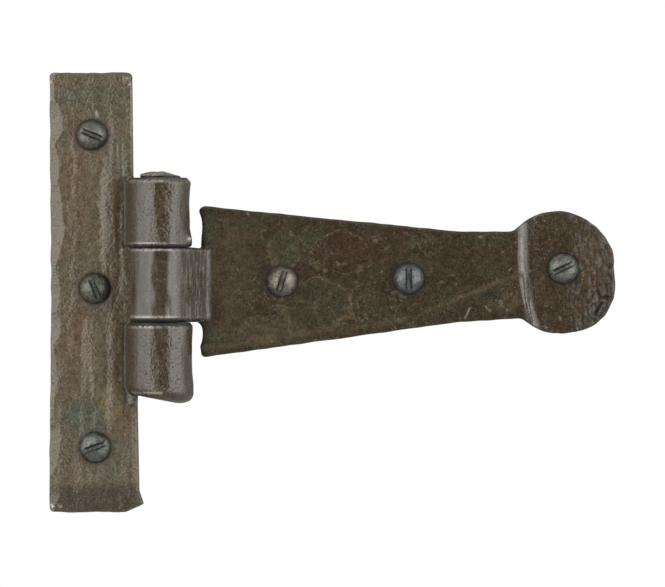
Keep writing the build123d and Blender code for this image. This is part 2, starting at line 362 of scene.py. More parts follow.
class StudioSettings(PropertyGroup):
    """The camera, the lights and the floor, where a brightness of 1 is the white background's."""

    view_width: length_property("View width", "Width that the picture takes in", 223.7)
    camera_distance: length_property("Camera distance", "From the wall plane to the lens", 3000.0)
    aim: FloatVectorProperty(
        name="Aim",
        description="Middle of the picture",
        default=(0.0798, 0.0, -0.00175),
        subtype="TRANSLATION",
    )
    side_light: FloatProperty(name="Side light", description="Brightness of the side lights", default=1.6)
    left_key: FloatProperty(
        name="Left key", description="Brightness added near the camera's left", default=1.8
    )
    right_key: FloatProperty(
        name="Right key", description="Brightness added near the camera's right", default=1.9
    )
    dark_front: angle_property("Dark front", "How far either side of the camera stays dark", 26)
    key_reach: angle_property("Key reach", "How far round the two keys reach", 50)
    side_reach: angle_property("Side reach", "How far round the side lights reach", 88)
    ambient: FloatProperty(name="Ambient", description="Even light from all around", default=0.08)
    floor_drop: length_property("Floor drop", "Height of the floor", -130.0)


class HingeSettings(PropertyGroup):
    """All that a user would change."""

    forging: PointerProperty(type=ForgingSettings)
    iron: PointerProperty(type=IronSettings)
    screws: PointerProperty(type=ScrewSettings)
    studio: PointerProperty(type=StudioSettings)


# Meshes

def cad_copy(node):
    """A merged copy of a CAD node's mesh."""
    bm = bmesh.new()
    bm.from_mesh(frame["nodes"][node].data)
    bmesh.ops.remove_doubles(bm, verts=bm.verts, dist=WELD)
    return bm


def new_piece(bm, name):
    """An object at the origin with that mesh."""
    mesh = bpy.data.meshes.new(name)
    bm.to_mesh(mesh)
    bm.free()
    piece = bpy.data.objects.new(name, mesh)
    bpy.context.scene.collection.objects.link(piece)
    return piece


def finish_modifiers(piece):
    """Gives a piece the mesh that its modifiers make."""
    rough = piece.data
    shown = piece.evaluated_get(bpy.context.evaluated_depsgraph_get())
    piece.data = bpy.data.meshes.new_from_object(shown)
    piece.modifiers.clear()
    bpy.data.meshes.remove(rough)


def even_skin(piece, size, true_up=False):
    """Rebuilds a piece's skin from even squares, so that it can be hammered, and trues it up if asked."""
    remesh = piece.modifiers.new("even_skin", "REMESH")
    remesh.mode = "VOXEL"
    remesh.voxel_size = size
    if true_up:
        # The copy shares the rough mesh, and goes with it once the modifiers are done
        pattern = piece.copy()
        pattern.modifiers.clear()
        bpy.context.scene.collection.objects.link(pattern)
        wrap = piece.modifiers.new("true_up", "SHRINKWRAP")
        wrap.target = pattern
    settle = piece.modifiers.new("settle", "SMOOTH")
    settle.factor = 0.5
    settle.iterations = 2
    finish_modifiers(piece)
    piece.data.polygons.foreach_set("use_smooth", [True] * len(piece.data.polygons))


def read_points(piece):
    """A piece's points in millimetres, one row each."""
    points = np.zeros(len(piece.data.vertices) * 3)
    piece.data.vertices.foreach_get("co", points)
    return points.reshape(-1, 3) / MM


def read_normals(piece):
    """The outward direction at each of a piece's points."""
    normals = np.zeros(len(piece.data.vertices) * 3)
    piece.data.vertices.foreach_get("normal", normals)
    return normals.reshape(-1, 3)


def write_points(piece, points):
    """Puts a piece's points back, none of them outside the frame's box."""
    low, high = np.array(CAD_BOX)
    inside = np.clip(points * MM, low, high)
    piece.data.vertices.foreach_set("co", inside.ravel())
    piece.data.update()


def store(piece, name, values):
    """Keeps a value for each point, for the material to read."""
    attribute = piece.data.attributes.new(name, "FLOAT", "POINT")
    attribute.data.foreach_set("value", np.asarray(values, dtype=np.float32))


def mark_edges(piece, size):
    """Stores how far each point stands out from its neighbours: above 0 on edges, below 0 in creases."""
    points = read_points(piece)
    normals = read_normals(piece)
    ends = np.zeros(len(piece.data.edges) * 2, dtype=np.int32)
    piece.data.edges.foreach_get("vertices", ends)
    first, second = ends.reshape(-1, 2).T
    count = np.zeros(len(points))
    around = np.zeros_like(points)
    for here, there in ((first, second), (second, first)):
        np.add.at(count, here, 1)
        np.add.at(around, here, points[there])
    stand_out = ((points - around / count[:, None]) * normals).sum(axis=1) * MM / size
    softened = stand_out.copy()
    for here, there in ((first, second), (second, first)):
        np.add.at(softened, here, stand_out[there])
    store(piece, "edge", softened / (count + 1))


# Shapes of the hammer's work

def ramp(value, start, end):
    """0 at start and 1 at end, smooth in between."""
    share = np.clip((value - start) / (end - start), 0.0, 1.0)
    return share * share * (3 - 2 * share)


def bell(distance, width):
    """1 at no distance, falling off smoothly over the width."""
    return np.exp(-((distance / width) ** 2))


def between(value, span, soft=0.6):
    """1 inside a span and 0 outside it."""
    return ramp(value, span[0] - soft, span[0]) * (1 - ramp(value, span[1], span[1] + soft))


def waves(x, z, size_x, size_z, seed):
    """Smooth ups and downs of about one size each way, from -1 to 1."""
    return np.array(
        [noise.noise(Vector((a, seed, b))) for a, b in zip(x / size_x, z / size_z)]
    )


def dishes(x, z, size_x, size_z, seed):
    """Shallow round dents that meet in soft ridges: 0 in a dent's middle, near 1 on a ridge."""
    return np.array(
        [noise.voronoi(Vector((a, seed, b)))[0][0] for a, b in zip(x / size_x, z / size_z)]
    ) ** 2


def line_distance(x, z, line):
    """How far each point lies from a line of straight runs."""
    nearest = np.full(len(x), np.inf)
    for (x0, z0), (x1, z1) in zip(line, line[1:]):
        run_x, run_z = x1 - x0, z1 - z0
        along = np.clip(((x - x0) * run_x + (z - z0) * run_z) / (run_x**2 + run_z**2), 0, 1)
        nearest = np.minimum(nearest, np.hypot(x - x0 - along * run_x, z - z0 - along * run_z))
    return nearest


def screw_centre(name):
    """X and Z of a screw's axis."""
    low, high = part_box(name)
    return (low.x + high.x) / 2 / MM, (low.z + high.z) / 2 / MM


def screw_distance(x, z, prefix):
    """How far each point lies from the nearest screw of one leaf."""
    centres = [screw_centre(name) for name in SCREWS if name.startswith(prefix)]
    return np.min([np.hypot(x - place_x, z - place_z) for place_x, place_z in centres], axis=0)


def knuckle_sides(x, y):
    """Distance from the pin's axis, and the cosine and sine of the direction."""
    reach = np.hypot(x - PIN_X, y - PIN_Y)
    return reach, (x - PIN_X) / reach, (y - PIN_Y) / reach


def close_gaps(points, in_eye, side):
    """Spreads a leaf's knuckle ends almost to the other's: side is 1 for the strap, -1 for the plate."""
    z = points[:, 2]
    upper_end = UPPER_EYE[0] if side < 0 else CENTRE_EYE[1]
    lower_end = LOWER_EYE[1] if side < 0 else CENTRE_EYE[0]
    points[:, 2] += 0.18 * side * in_eye * (bell(z - upper_end, 0.35) - bell(z - lower_end, 0.35))


def in_eyes(z, soft=0.6):
    """1 at the heights of the plate's two knuckles."""
    return np.maximum(between(z, UPPER_EYE, soft), between(z, LOWER_EYE, soft))


def roll_knuckle(points, weight, swell, seed):
    """Wanders a knuckle's outside, and swells its free side by the amounts given down its height."""
    x, y, z = points.T
    reach, side, front = knuckle_sides(x, y)
    outside = weight * ramp(reach, BORE_RADIUS + 1.5, BORE_RADIUS + 3.5)
    around = np.arctan2(front, side) * EYE_RADIUS
    wander = 0.3 * waves(around, z, 4.5, 22.0, seed) - 0.12
    wander += 0.16 * waves(around, z, 2.4, 6.0, seed + 3.0)
    heights, swells = zip(*sorted(swell))
    points[:, 0] += outside * side * (wander + np.interp(z, heights, swells) * (side > 0) * side)
    points[:, 1] += outside * front * wander


def inside_edge_facet(x, z):
    """How far each point lies inside the facet that the blows left down the plate's left edge."""
    reach = np.full(len(x), FACET_MARGIN)
    for height, half, depth in EDGE_BLOWS:
        reach = np.maximum(reach, depth * (1 - ((z - height) / half) ** 2))
    reach += 0.5 * waves(x, z, 40.0, 3.2, 4.0)
    return PLATE_LOW.x + reach - x


def plate_hollows(x, z, settings):
    """How deep the plate's front is beaten in at each point."""
    inside = inside_edge_facet(x, z)
    calm = 0.35 + 0.65 * ramp(screw_distance(x, z, "plate"), 5.0, 8.5)
    calm *= 1 - 0.75 * ramp(z, 52.0, 62.0)
    dents = settings.plate_dents / MM * (1.2 * dishes(x, z, 9.0, 13.0, 2.5) - 0.25)
    flutes = settings.plate_flutes / MM * waves(x, z, 4.2, 42.0, 7.0)
    flutes *= 1 - 0.8 * bell(inside + 2.5, 3.0)
    ripple = 0.08 * waves(x, z, 2.1, 6.0, 11.0)
    pebbled = ramp(x, -6.0, -1.0) * ramp(z, -12.0, -2.0) * (1 - ramp(z, 46.0, 52.0))
    pebbles = (0.05 + 0.15 * pebbled) * dishes(x, z, 1.7, 2.0, 6.5)
    hollow = (dents + flutes + ripple + pebbles) * calm * (1 - 0.7 * ramp(inside, -0.6, 0.4))
    hollow += 0.4 * np.clip(inside, 0, None)
    hollow += 0.11 * np.clip(FOOT_START + 0.8 * waves(x, z, 6.0, 50.0, 3.0) - z, 0, None)
    hollow += 0.04 * np.clip(z - TOP_START, 0, None)
    hollow += 0.35 * np.clip(x - FLARE_START_X, 0, None) * (z < LOWER_EYE[0])
    for place, low, high, width, rise in PLATE_RIDGES:
        line = place + 0.6 * waves(np.zeros_like(z), z, 1.0, 9.0, place)
        hollow -= rise * bell(x - line, width) * between(z, (low, high), 5.0)
    return hollow


def forge_plate(points, settings):
    """Moves the plate's points as the hammer left them, and gives its rolled parts."""
    x, y, z = points.T
    from_pin = np.hypot(x - PIN_X, y - PIN_Y)
    rolled = (1 - ramp(from_pin, EYE_RADIUS + 0.3, EYE_RADIUS + 3.0)) * in_eyes(z, 2.0)
    corner = bell(np.hypot(x - RAISED_CORNER[0], z - RAISED_CORNER[1]), 1.3)
    hollow = plate_hollows(x, z, settings) - 1.3 * corner
    in_bevel = np.clip(PLATE_LOW.x + FACET_WIDTH - x, 0, None)
    old_depth = BAR - in_bevel * FACET_DEPTH / FACET_WIDTH
    new_depth = BAR - np.clip(hollow, -0.35 - 1.5 * corner, 2.6)
    points[:, 1] *= 1 + (1 - rolled) * (new_depth / old_depth - 1)
    lip = bell(x - LIP_X - 0.3, 1.1) * in_eyes(z) * ramp(y, -3.6, -4.8)
    points[:, 1] += 0.65 * lip
    left_inset = 0.1 + 0.5 * bell(z - 2.0, 38.0) + 0.3 * waves(x, z, 50.0, 7.0, 5.0)
    points[:, 0] += left_inset * ramp(x, -10.0, PLATE_LOW.x)
    ragged_end = 0.25 + 0.35 * waves(x, z, 4.0, 60.0, 14.0)
    points[:, 2] -= ragged_end * (ramp(z, 69.0, PLATE_HIGH.z) - ramp(z, -72.0, PLATE_LOW.z))
    for span, swell, seed in ((UPPER_EYE, UPPER_SWELL, 1.0), (LOWER_EYE, LOWER_SWELL, 21.0)):
        roll_knuckle(points, ramp(x, PIN_X - EYE_RADIUS, PIN_X - 6.0) * between(z, span), swell, seed)
    close_gaps(points, ramp(x, PLATE_RIGHT - 1.0, PLATE_RIGHT + 0.5), -1)
    burr = bell(np.linalg.norm(points - np.array(BURR), axis=1), 1.2)
    points[:, 0] += 0.75 * burr
    points[:, 1] -= 0.5 * burr
    return rolled


def step_line(z):
    """Where the strap's step begins at a height."""
    return PENNY_CENTRE[0] - STEP_BACK - (z - PENNY_CENTRE[1]) * tan(radians(STEP_SLANT))


def worn_step_line(z):
    """Where the step begins as worn: upright above the middle, and leaning below it."""
    return STEP_TOP_X + 0.0065 * np.clip(STEP_BEND_Z - z, 0, None) ** 2


def facet_depth(below, width, slope, run, tail_slope):
    """Depth of a facet some way below its upper line: steep for its width, then easing off for a run."""
    return slope * np.clip(below, 0, width) + tail_slope * np.clip(below - width, 0, run)


def lower_facets(x, z, past_step, rolled):
    """Depth of the two facets along the strap's lower edge, and a painted highlight along the ridges on
    their upper lines.
    """
    neck_line = NECK_RIDGE[1] + (x - NECK_RIDGE[0]) * NECK_SLOPE + 0.8 * waves(x, z, 8.0, 30.0, 6.0)
    depth = facet_depth(neck_line - z, 2.2, 0.36, 6.0, 0.06) * ramp(x, *NECK_FACET_START) * (1 - past_step)
    ridges = 0.9 * bell(neck_line - 0.3 - z, 0.8) * ramp(x, *NECK_RIDGE_START) * (1 - past_step)
    lower_edge = STRAP_LOW.z + (x - SHOULDER_X) * LOWER_SLOPE
    edge_line = lower_edge + EDGE_FACET_HEIGHT + 1.6 * waves(x, z, 9.0, 50.0, 16.0)
    before_neck = 1 - ramp(x, *EDGE_FACET_END)
    depth += facet_depth(edge_line - z, 1.8, 0.4, 4.0, 0.05) * before_neck
    ridges += 0.8 * bell(edge_line - 1.0 - z, 1.2) * before_neck * (1 - rolled)
    return depth, ridges


def step_wear(x, z, from_step):
    """Depth of the hollow below the step, less the two creases that stand up on it."""
    creases = 0.4 * waves(x, z, 60.0, 5.0, 13.0)
    raised = bell(from_step - 0.1 - creases, 0.35) + bell(from_step - 1.7 - creases, 0.35)
    return 0.3 * bell(from_step - WORN_STEP - 1.4, 1.3) - 0.14 * raised


def penny_wear(x, z, penny):
    """Depth of the penny's wrinkles, pits and cracks."""
    wrinkled = penny * ramp(x, *WRINKLES_START)
    depth = (wrinkled * 0.6 + 0.1 * penny) * waves(x, z, 1.6, 2.6, 15.0)
    depth += 0.16 * penny * waves(x, z, 0.9, 0.9, 18.0)
    for line, crack in PENNY_CRACKS:
        depth += crack * bell(line_distance(x, z, line), 0.45)
    return depth


def forge_strap(points, normals, settings):
    """Moves the strap's points as the hammer left them, and gives its rolled parts and the painted
    highlight on its ridges.
    """
    x, y, z = points.T
    past_step = np.clip((x - step_line(z)) / STEP_RUN, 0, 1)
    from_step = x - worn_step_line(z)
    penny = ramp(from_step, STEP_RUN + 1.0, STEP_RUN + 5.0)
    rolled = (1 - ramp(x, SHOULDER_X + 1.5, SHOULDER_X + 3.0)) * between(z, CENTRE_EYE, 0.3)
    calm = 0.3 + 0.7 * ramp(screw_distance(x, z, "strap"), 5.0, 8.0)
    dents = settings.strap_dents / MM * (1.3 * dishes(x, z, 8.0, 6.0, 4.5) - 0.3)
    swells = 0.2 * waves(x, z, 16.0, 11.0, 9.0)
    facets, ridges = lower_facets(x, z, past_step, rolled)
    hollow = (dents + swells) * calm + facets + step_wear(x, z, from_step) + penny_wear(x, z, penny)
    worn_step = np.clip(from_step / WORN_STEP, 0, 1)
    old_depth = BAR - (BAR - PENNY_THICKNESS) * past_step
    new_depth = BAR - (BAR - PENNY_THICKNESS) * worn_step - np.clip(hollow, -0.3, 1.5)
    points[:, 1] *= 1 + (1 - rolled) * (new_depth / old_depth - 1)
    edge = (1 - np.abs(normals[:, 1])) * (1 - rolled)
    wander = settings.edge_wander / MM * waves(x, z, 5.0, 5.0, 17.0)
    wander += 0.18 * penny * waves(x, z, 2.6, 2.6, 19.0)
    points[:, 0] += edge * normals[:, 0] * wander
    points[:, 2] += edge * normals[:, 2] * wander
    left = 1 - ramp(x, SHOULDER_X + 0.5, SHOULDER_X + 3.5)
    ears = sum(reach * bell(z - height, half) for height, half, reach in STRAP_EARS)
    points[:, 0] -= left * ears * (1 - rolled)
    round_pin = 1 - ramp(x, PIN_X + 6.0, PIN_X + 11.0)
    roll_knuckle(points, round_pin * between(z, CENTRE_EYE), [(0.0, 0.0)], 33.0)
    close_gaps(points, 1 - ramp(x, SHOULDER_X - 2.5, SHOULDER_X - 1.0), 1)
    return rolled, ridges


def forge_pin(points):
    """Tips the pin's peened head and dents it."""
    x, y, z = points.T
    blows = 0.5 * dishes(x, y, 3.6, 3.6, 3.0)
    points[:, 2] -= blows * ramp(z, PIN_HIGH.z - 1.2, PIN_HIGH.z - 0.2)
    head = ramp(z, UPPER_EYE[1] + 0.05, UPPER_EYE[1] + 0.6)
    tilt = (PIN_X - x) * tan(radians(4.0))
    points[:, 2] += head * (np.maximum(tilt, -0.35) + 0.3 * waves(x, y, 2.4, 2.4, 8.0) - 0.1)
    reach, side, front = knuckle_sides(x, y)
    ragged = 0.45 * waves(np.arctan2(front, side) * 7.0, z, 2.4, 8.0, 12.0)
    points[:, 0] += head * ramp(reach, 4.0, 6.5) * side * ragged
    points[:, 1] += head * ramp(reach, 4.0, 6.5) * front * ragged


# Screws

def screw_profile():
    """Half section of a round-head wood screw, as distance from the axis and depth behind its seat."""
    rise = HEAD_HEIGHT - HEAD_RIM
    dome = (HEAD_RADIUS**2 + rise**2) / (2 * rise)
    widest = np.arcsin(HEAD_RADIUS / dome)
    arc = [
        (dome * sin(turn), dome * (1 - cos(turn)) - HEAD_HEIGHT) for turn in np.linspace(0, widest, 12)
    ]
    return arc + [
        (HEAD_RADIUS, 0.0),
        (SHANK_RADIUS, 0.0),
        (SHANK_RADIUS, PLAIN_SHANK),
        (CORE_RADIUS, PLAIN_SHANK + SHANK_STEP),
        (CORE_RADIUS, SCREW_LENGTH - POINT_LENGTH),
        (0.0, SCREW_LENGTH),
    ]


def spun(profile, settings, turns=1.0, climb=0.0, closed=False):
    """A mesh made by turning a profile about the Y axis, climbing along it if asked."""
    bm = bmesh.new()
    corners = [bm.verts.new((reach * MM, depth * MM, 0)) for reach, depth in profile]
    runs = list(zip(corners, corners[1:]))
    if closed:
        runs.append((corners[-1], corners[0]))
    edges = [bm.edges.new(run) for run in runs]
    steps = round(settings.facets * turns)
    bmesh.ops.spin(
        bm,
        geom=corners + edges,
        axis=(0, 1, 0),
        cent=(0, 0, 0),
        dvec=(0, climb / settings.facets, 0),
        angle=2 * pi * turns,
        steps=steps,
        use_merge=not closed,
    )
    bmesh.ops.remove_doubles(bm, verts=bm.verts, dist=WELD)
    bmesh.ops.holes_fill(bm, edges=bm.edges, sides=len(profile))
    bmesh.ops.recalc_face_normals(bm, faces=bm.faces)
    return bm


def screw_thread(settings):
    """The thread: a ridge that winds up the core and shrinks to nothing at the point."""
    half = 0.22 * settings.pitch / MM
    start = PLAIN_SHANK + SHANK_STEP / 2
    ridge = [(CORE_RADIUS - 0.4, start - half), (SHANK_RADIUS, start), (CORE_RADIUS - 0.4, start + half)]
    turns = (SCREW_LENGTH - 1.0 - start) / (settings.pitch / MM)
    bm = spun(ridge, settings, turns, settings.pitch, closed=True)
    for vert in bm.verts:
        left = (SCREW_LENGTH * MM - vert.co.y) / (POINT_LENGTH * MM)
        if left < 1:
            vert.co.x *= max(left, 0.05)
            vert.co.z *= max(left, 0.05)
    return bm


def forge_screw(points, centre, seat, seed):
    """Wears a screw's head: a few knocks, and a slightly uneven dome."""
    x, y, z = points.T
    head = ramp(y, seat + 0.3, seat - 1.2)
    place_x, place_z = x - centre[0], z - centre[1]
    knocks = 0.12 * waves(place_x, place_z, 1.6, 1.6, seed)
    knocks += 0.08 * waves(place_x, place_z, 0.7, 0.7, seed + 5.0)
    points[:, 1] += head * (knocks + 0.05)
    rim = head * ramp(np.hypot(place_x, place_z), 3.8, 5.2)
    rubbed = 0.02 * rim * (1 + waves(place_x, place_z, 2.5, 2.5, seed + 9.0))
    points[:, 0] -= rubbed * place_x
    points[:, 2] -= rubbed * place_z


def screw_soot_and_shade(points, centre, seat, slot_angle, settings):
    """Painted shade low on a screw's head, and on the sooty walls of its slot."""
    x, y, z = points.T
    place_x, place_z = x - centre[0], z - centre[1]
    # Painted shade low on the head, by its seat
    low_on_head = bell(y - seat, 0.9) * ramp(np.hypot(place_x, place_z), 4.2, 5.2)
    lean = radians(slot_angle)
    from_middle = np.abs(place_z * cos(lean) - place_x * sin(lean))
    from_wall = np.abs(from_middle - settings.slot_width / MM / 2)
    slot_floor = seat - HEAD_HEIGHT + settings.slot_depth / MM
    # Painted shade on the sooty walls of the slot
    return np.maximum(low_on_head, bell(from_wall, 0.36) * (y < slot_floor + 0.2))


def cut_slot(screw, slot_angle, settings):
    """Cuts the driver's slot into a screw whose seat is at the origin."""
    blade = bmesh.new()
    size = (3 * HEAD_RADIUS * MM, 2 * settings.slot_depth, settings.slot_width)
    turn = Matrix.Rotation(-radians(slot_angle), 4, "Y")
    place = Matrix.Translation((0, -HEAD_HEIGHT * MM, 0)) @ turn @ Matrix.Diagonal((*size, 1))
    bmesh.ops.create_cube(blade, size=1, matrix=place)
    cutter = new_piece(blade, "slot_cutter")
    cut = screw.modifiers.new("slot", "BOOLEAN")
    cut.object = cutter
    cut.operation = "DIFFERENCE"
    cut.solver = "EXACT"
    cut.use_self = True
    finish_modifiers(screw)
    bpy.data.objects.remove(cutter)


def make_screw(name, slot_angle, seed, settings):
    """One screw with its slot cut and its thread wound, on its node's axis."""
    centre = screw_centre(name)
    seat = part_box(name)[0].y / MM + HEAD_HEIGHT
    bm = spun(screw_profile(), settings)
    thread = bpy.data.meshes.new("thread")
    winding = screw_thread(settings)
    winding.to_mesh(thread)
    winding.free()
    bm.from_mesh(thread)
    bpy.data.meshes.remove(thread)
    screw = new_piece(bm, f"{name}_worn")
    cut_slot(screw, slot_angle, settings)
    screw.data.transform(Matrix.Translation((centre[0] * MM, seat * MM, centre[1] * MM)))
    even_skin(screw, settings.skin)
    points = read_points(screw)
    forge_screw(points, centre, seat, seed)
    write_points(screw, points)
    mark_edges(screw, settings.skin)
    # Soot and painted shade, for the material
    store(screw, "grime_and_shade", screw_soot_and_shade(points, centre, seat, slot_angle, settings))
    return screw


# Node trees

class Wiring:
    """Short words for building a node tree."""

    def __init__(self, tree):
        self.tree = tree

    def feed(self, socket, value):
        """Links a socket, or sets its value."""
        if isinstance(value, bpy.types.NodeSocket):
            self.tree.links.new(value, socket)
        elif hasattr(value, "__len__") and len(value) == 3 and socket.type == "RGBA":
            socket.default_value = (*value, 1.0)
        else:
            socket.default_value = value

    def node(self, kind, settings=None, **sockets):
        """Adds a node with its settings and inputs, where a name's underscore stands for a space."""
        node = self.tree.nodes.new(kind)
        for name, value in (settings or {}).items():
            setattr(node, name, value)
        for name, value in sockets.items():
            self.feed(node.inputs[name.replace("_", " ")], value)
        return node

    def math(self, operation, first, second=0.0):
        """One step of arithmetic."""
        node = self.node("ShaderNodeMath", {"operation": operation})
        self.feed(node.inputs[0], first)
        self.feed(node.inputs[1], second)
        return node.outputs[0]

    def product(self, first, *others):
        """Several values multiplied together."""
        for other in others:
            first = self.math("MULTIPLY", first, other)
        return first

    def vector_math(self, operation, first, second):
        """One step of arithmetic on vectors."""
        node = self.node("ShaderNodeVectorMath", {"operation": operation})
        self.feed(node.inputs[0], first)
        self.feed(node.inputs[1], second)
        return node.outputs["Value" if operation in ("LENGTH", "DISTANCE") else "Vector"]

    def scaled(self, vector, factor):
        """A vector times a number."""
        node = self.node("ShaderNodeVectorMath", {"operation": "SCALE"})
        self.feed(node.inputs[0], vector)
        self.feed(node.inputs["Scale"], factor)
        return node.outputs[0]

    def span(self, value, start, end, low=0.0, high=1.0):
        """Maps a value from one span to another, and stops at the ends."""
        node = self.node("ShaderNodeMapRange", {"interpolation_type": "SMOOTHSTEP"}, Value=value)
        for name, number in zip(("From Min", "From Max", "To Min", "To Max"), (start, end, low, high)):
            self.feed(node.inputs[name], number)
        return node.outputs[0]

    def mix(self, share, first, second, blend="MIX"):
        """Mixes two colours."""
        settings = {"data_type": "RGBA", "blend_type": blend, "clamp_factor": True}
        node = self.node("ShaderNodeMix", settings)
        self.feed(node.inputs[0], share)
        self.feed(node.inputs[6], first)
        self.feed(node.inputs[7], second)
        return node.outputs[2]

    def lay(self, colour, over, *shares):
        """Lays a second colour over the first, by the product of the shares."""
        return self.mix(self.product(*shares), colour, over)

    def noise(self, vector, scale, detail=2.0, roughness=0.5):
        """Cloudy noise from 0 to 1."""
        sockets = {"Vector": vector, "Scale": scale, "Detail": detail, "Roughness": roughness}
        return self.node("ShaderNodeTexNoise", **sockets).outputs[0]

    def place(self):
        """The piece's own coordinates, in metres."""
        return self.node("ShaderNodeTexCoord").outputs["Object"]

    def stored(self, name):
        """A value that was stored for each point."""
        return self.node("ShaderNodeAttribute", {"attribute_name": name}).outputs["Fac"]

    def group(self, name, **sockets):
        """Places a node group with its own values."""
        return self.node("ShaderNodeGroup", {"node_tree": bpy.data.node_groups[name]}, **sockets)


def start_group(name, inputs, outputs):
    """A new node group: its wiring, its inputs by name and the node that takes its outputs."""
    tree = bpy.data.node_groups.new(name, "ShaderNodeTree")
    for label, value in {"Vector": ORIGIN, **inputs}.items():
        kind = "NodeSocketVector" if isinstance(value, tuple) else "NodeSocketFloat"
        socket = tree.interface.new_socket(label, in_out="INPUT", socket_type=kind)
        socket.default_value = value
    for label in outputs:
        tree.interface.new_socket(label, in_out="OUTPUT", socket_type="NodeSocketFloat")
    wiring = Wiring(tree)
    entry = wiring.node("NodeGroupInput").outputs
    leave = wiring.node("NodeGroupOutput").inputs
    return wiring, entry, leave


def build_grain_group():
    """Specks and pits of scaled iron, from the size of a speck."""
    inputs = {"Size": 0.0007, "Pitting": 0.5}
    w, entry, leave = start_group("Iron grain", inputs, ("Speckle", "Pits", "Height"))
    place = entry["Vector"]
    density = w.math("DIVIDE", 1.0, entry["Size"])
    fine = w.noise(place, density, 3.0, 0.65)
    coarse = w.noise(place, w.product(density, 0.35), 2.0, 0.6)
    w.feed(leave["Speckle"], w.math("ADD", w.product(fine, 0.6), w.product(coarse, 0.4)))
    cells = w.node("ShaderNodeTexVoronoi", Vector=place, Scale=w.product(density, 0.8))
    holes = w.span(cells.outputs["Distance"], 0.12, 0.42, 1.0, 0.0)
    sparse = w.span(coarse, w.math("SUBTRACT", 0.75, w.product(entry["Pitting"], 0.4)), 0.8)
    pits = w.product(holes, sparse)
    w.feed(leave["Pits"], pits)
    pebbles = w.node("ShaderNodeTexVoronoi", {"feature": "SMOOTH_F1"}, Vector=place, Scale=density)
    sunk = w.product(pebbles.outputs["Distance"], 0.5)
    bumps = w.math("SUBTRACT", w.product(fine, 0.8), sunk)
    w.feed(leave["Height"], w.math("SUBTRACT", bumps, w.product(pits, 0.9)))


def build_cloud_group():
    """Cloudy stains, from their size and how much they cover."""
    inputs = {"Size": (0.01, 0.01, 0.01), "Cover": 0.5, "Softness": 0.1, "Shift": 0.0}
    w, entry, leave = start_group("Cloudy stain", inputs, ("Mask", "Rim"))
    stretched = w.vector_math("DIVIDE", entry["Vector"], entry["Size"])
    shifted = w.vector_math("ADD", stretched, entry["Shift"])
    cloud = w.noise(shifted, 1.0, 4.0, 0.6)
    edge = w.math("SUBTRACT", 0.72, w.product(entry["Cover"], 0.44))
    w.feed(leave["Mask"], w.span(cloud, edge, w.math("ADD", edge, entry["Softness"])))
    from_edge = w.math("ABSOLUTE", w.math("SUBTRACT", cloud, edge))
    w.feed(leave["Rim"], w.span(from_edge, 0.0, 0.012, 1.0, 0.0))


def build_patch_group():
    """One ragged patch, from its centre and how far it reaches each way."""
    inputs = {"Centre": ORIGIN, "Reach": (0.01, 0.01, 0.01), "Ragged": 0.5, "Softness": 0.4}
    w, entry, leave = start_group("Ragged patch", inputs, ("Mask", "Rim"))
    from_centre = w.vector_math("SUBTRACT", entry["Vector"], entry["Centre"])
    away = w.vector_math("DIVIDE", from_centre, entry["Reach"])
    distance = w.vector_math("LENGTH", away, ORIGIN)
    wobble = w.math("SUBTRACT", w.noise(away, 1.4, 4.0, 0.6), 0.5)
    frayed = w.math("ADD", distance, w.product(wobble, w.product(entry["Ragged"], 2.0)))
    inner = w.math("SUBTRACT", 1.0, entry["Softness"])
    w.feed(leave["Mask"], w.span(frayed, inner, 1.0, 1.0, 0.0))
    from_rim = w.math("ABSOLUTE", w.math("SUBTRACT", frayed, 1.0))
    w.feed(leave["Rim"], w.span(from_rim, 0.0, 0.08, 1.0, 0.0))


def build_scratch_group():
    """Thin pale scratches that all run roughly one way."""
    inputs = {"Turn": ORIGIN, "Size": (0.0006, 0.0006, 0.006), "Cover": 0.2, "Shift": 0.0}
    w, entry, leave = start_group("Scratches", inputs, ("Mask",))
    turned = w.node("ShaderNodeVectorRotate", {"rotation_type": "EULER_XYZ"})
    w.feed(turned.inputs["Vector"], entry["Vector"])
    w.feed(turned.inputs["Rotation"], entry["Turn"])
    swirl = w.node("ShaderNodeTexNoise", Vector=entry["Vector"], Scale=90.0).outputs["Color"]
    bent = w.vector_math("ADD", turned.outputs[0], w.scaled(swirl, 0.003))
    stretched = w.vector_math("DIVIDE", bent, entry["Size"])
    lines = w.noise(w.vector_math("ADD", stretched, entry["Shift"]), 1.0, 1.0, 0.4)
    edge = w.math("SUBTRACT", 0.82, w.product(entry["Cover"], 0.3))
    w.feed(leave["Mask"], w.span(lines, edge, w.math("ADD", edge, 0.06)))


def build_wear_group():
    """Bright rubbed edges and dark creases, from the stored edge value."""
    inputs = {"Edge": 0.0, "Start": 0.05, "End": 0.16, "Patchy": 0.5}
    w, entry, leave = start_group("Rubbed edges", inputs, ("Wear", "Crease"))
    fine = w.noise(entry["Vector"], 700.0, 3.0, 0.6)
    broken = w.span(fine, 0.42, 0.6, w.math("SUBTRACT", 1.0, entry["Patchy"]), 1.0)
    rubbed = w.span(entry["Edge"], entry["Start"], entry["End"])
    w.feed(leave["Wear"], w.product(rubbed, broken))
    sunk = w.product(entry["Edge"], -1.0)
    w.feed(leave["Crease"], w.span(sunk, entry["Start"], entry["End"]))


def start_material(name):
    """A material with a plain shader, its wiring and its shader."""
    material = bpy.data.materials.new(name)
    material.use_nodes = True
    wiring = Wiring(material.node_tree)
    return material, wiring, material.node_tree.nodes["Principled BSDF"]


def add_bump(w, shader, height, distance):
    """Feeds a height into the shader's normal."""
    bump = w.node("ShaderNodeBump", Height=height, Distance=distance, Strength=1.0)
    w.feed(shader.inputs["Normal"], bump.outputs[0])


